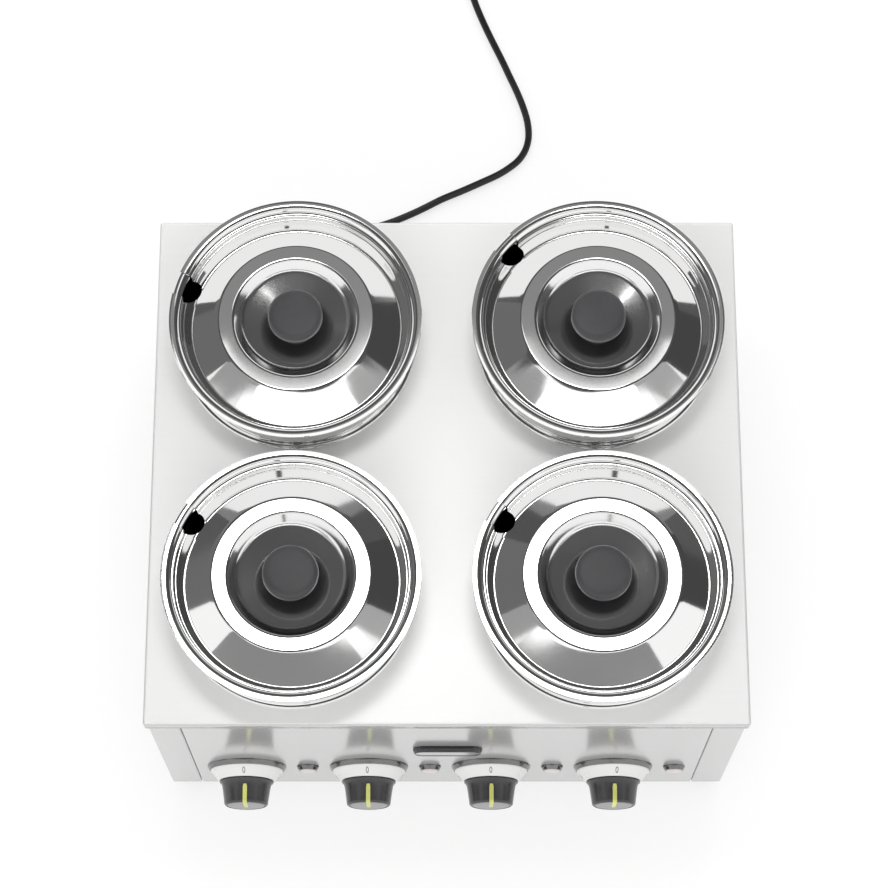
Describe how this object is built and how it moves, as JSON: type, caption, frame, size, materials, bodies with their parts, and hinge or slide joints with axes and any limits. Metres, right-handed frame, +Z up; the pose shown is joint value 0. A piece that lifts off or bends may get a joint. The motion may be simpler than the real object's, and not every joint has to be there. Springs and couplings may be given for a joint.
{
  "type": "hot fudge topping warmer",
  "caption": "Countertop warmer with lidded lift-out steel pots set in a square steel housing, thermostat dials and pilot lamps along the front, and a mains cord at the rear.",
  "frame": {"origin": "on the floor under the middle of the box round the object, its cord left out", "axes": "+Z up, dials and front panel towards -Y, +X to the right when the dials are faced"},
  "size_m": [0.52, 0.9966, 0.3216],
  "materials": {
    "deck_steel": "satin brushed from side to side",
    "panel_steel": "satin brushed",
    "base_steel": "plain mill finish",
    "well_aluminium": "plain drawn",
    "heater_steel": "heat-tinted",
    "pot_steel": "polished",
    "lid_steel": "mirror polished",
    "knob_black": "satin black",
    "screw_steel": "zinc plated",
    "thermostat_case": "plain",
    "dial_grey": "satin dark grey",
    "pointer_yellow": "yellow-green",
    "bezel_chrome": "dark chrome",
    "scale_white": "satin white",
    "lamp_lens": "pale red, translucent",
    "badge_black": "black with a blank face",
    "foot_rubber": "black rubber",
    "block_plastic": "natural",
    "plug_black": "moulded black",
    "cord_black": "black sheath",
    "pin_brass": "nickel plated"
  },
  "bodies": {
    "housing": {"deck": "deck_steel", "side_panel_left": "panel_steel", "side_panel_right": "panel_steel", "front_panel": "panel_steel", "rear_panel": "panel_steel", "base_plate": "base_steel", "well_rear_left": "well_aluminium", "well_rear_right": "well_aluminium", "well_front_left": "well_aluminium", "well_front_right": "well_aluminium", "heater_rear_left": "heater_steel", "heater_rear_right": "heater_steel", "heater_front_left": "heater_steel", "heater_front_right": "heater_steel", "thermostat_1": "thermostat_case", "thermostat_2": "thermostat_case", "thermostat_3": "thermostat_case", "thermostat_4": "thermostat_case", "dial_bezels": "bezel_chrome", "scale_rings": "scale_white", "lamp_bezels": "bezel_chrome", "pilot_lamps": "lamp_lens", "badge": "badge_black", "feet": "foot_rubber", "foot_screws": "screw_steel", "base_screws": "screw_steel", "terminal_block": "block_plastic", "cable_gland": "plug_black", "cord": "cord_black", "cord_coil": "cord_black", "plug": "plug_black", "plug_pins": "pin_brass"},
    "pot_rear_left": {"pot_rear_left": "pot_steel"},
    "pot_rear_right": {"pot_rear_right": "pot_steel"},
    "pot_front_left": {"pot_front_left": "pot_steel"},
    "pot_front_right": {"pot_front_right": "pot_steel"},
    "lid_rear_left": {"lid_rear_left": "lid_steel", "lid_knob_rear_left": "knob_black", "lid_screw_rear_left": "screw_steel"},
    "lid_rear_right": {"lid_rear_right": "lid_steel", "lid_knob_rear_right": "knob_black", "lid_screw_rear_right": "screw_steel"},
    "lid_front_left": {"lid_front_left": "lid_steel", "lid_knob_front_left": "knob_black", "lid_screw_front_left": "screw_steel"},
    "lid_front_right": {"lid_front_right": "lid_steel", "lid_knob_front_right": "knob_black", "lid_screw_front_right": "screw_steel"},
    "dial_1": {"spindle_1": "screw_steel", "dial_knob_1": "dial_grey", "pointer_1": "pointer_yellow"},
    "dial_2": {"spindle_2": "screw_steel", "dial_knob_2": "dial_grey", "pointer_2": "pointer_yellow"},
    "dial_3": {"spindle_3": "screw_steel", "dial_knob_3": "dial_grey", "pointer_3": "pointer_yellow"},
    "dial_4": {"spindle_4": "screw_steel", "dial_knob_4": "dial_grey", "pointer_4": "pointer_yellow"}
  },
  "joints": [
    {"name": "pot_rear_left_lift", "type": "slide", "parent": "housing", "child": "pot_rear_left", "axis": [0, 0, 1], "range_m": [0, 0.16]},
    {"name": "pot_rear_right_lift", "type": "slide", "parent": "housing", "child": "pot_rear_right", "axis": [0, 0, 1], "range_m": [0, 0.16]},
    {"name": "pot_front_left_lift", "type": "slide", "parent": "housing", "child": "pot_front_left", "axis": [0, 0, 1], "range_m": [0, 0.16]},
    {"name": "pot_front_right_lift", "type": "slide", "parent": "housing", "child": "pot_front_right", "axis": [0, 0, 1], "range_m": [0, 0.16]},
    {"name": "lid_rear_left_lift", "type": "slide", "parent": "pot_rear_left", "child": "lid_rear_left", "axis": [0, 0, 1], "range_m": [0, 0.09]},
    {"name": "lid_rear_right_lift", "type": "slide", "parent": "pot_rear_right", "child": "lid_rear_right", "axis": [0, 0, 1], "range_m": [0, 0.09]},
    {"name": "lid_front_left_lift", "type": "slide", "parent": "pot_front_left", "child": "lid_front_left", "axis": [0, 0, 1], "range_m": [0, 0.09]},
    {"name": "lid_front_right_lift", "type": "slide", "parent": "pot_front_right", "child": "lid_front_right", "axis": [0, 0, 1], "range_m": [0, 0.09]},
    {"name": "dial_1_turn", "type": "hinge", "parent": "housing", "child": "dial_1", "pos_m": [-0.183, -0.23325, 0.0814], "axis": [0, 1, 0], "range_deg": [0, 270]},
    {"name": "dial_2_turn", "type": "hinge", "parent": "housing", "child": "dial_2", "pos_m": [-0.0712, -0.23325, 0.0814], "axis": [0, 1, 0], "range_deg": [0, 270]},
    {"name": "dial_3_turn", "type": "hinge", "parent": "housing", "child": "dial_3", "pos_m": [0.0406, -0.23325, 0.0814], "axis": [0, 1, 0], "range_deg": [0, 270]},
    {"name": "dial_4_turn", "type": "hinge", "parent": "housing", "child": "dial_4", "pos_m": [0.1524, -0.23325, 0.0814], "axis": [0, 1, 0], "range_deg": [0, 270]}
  ]
}
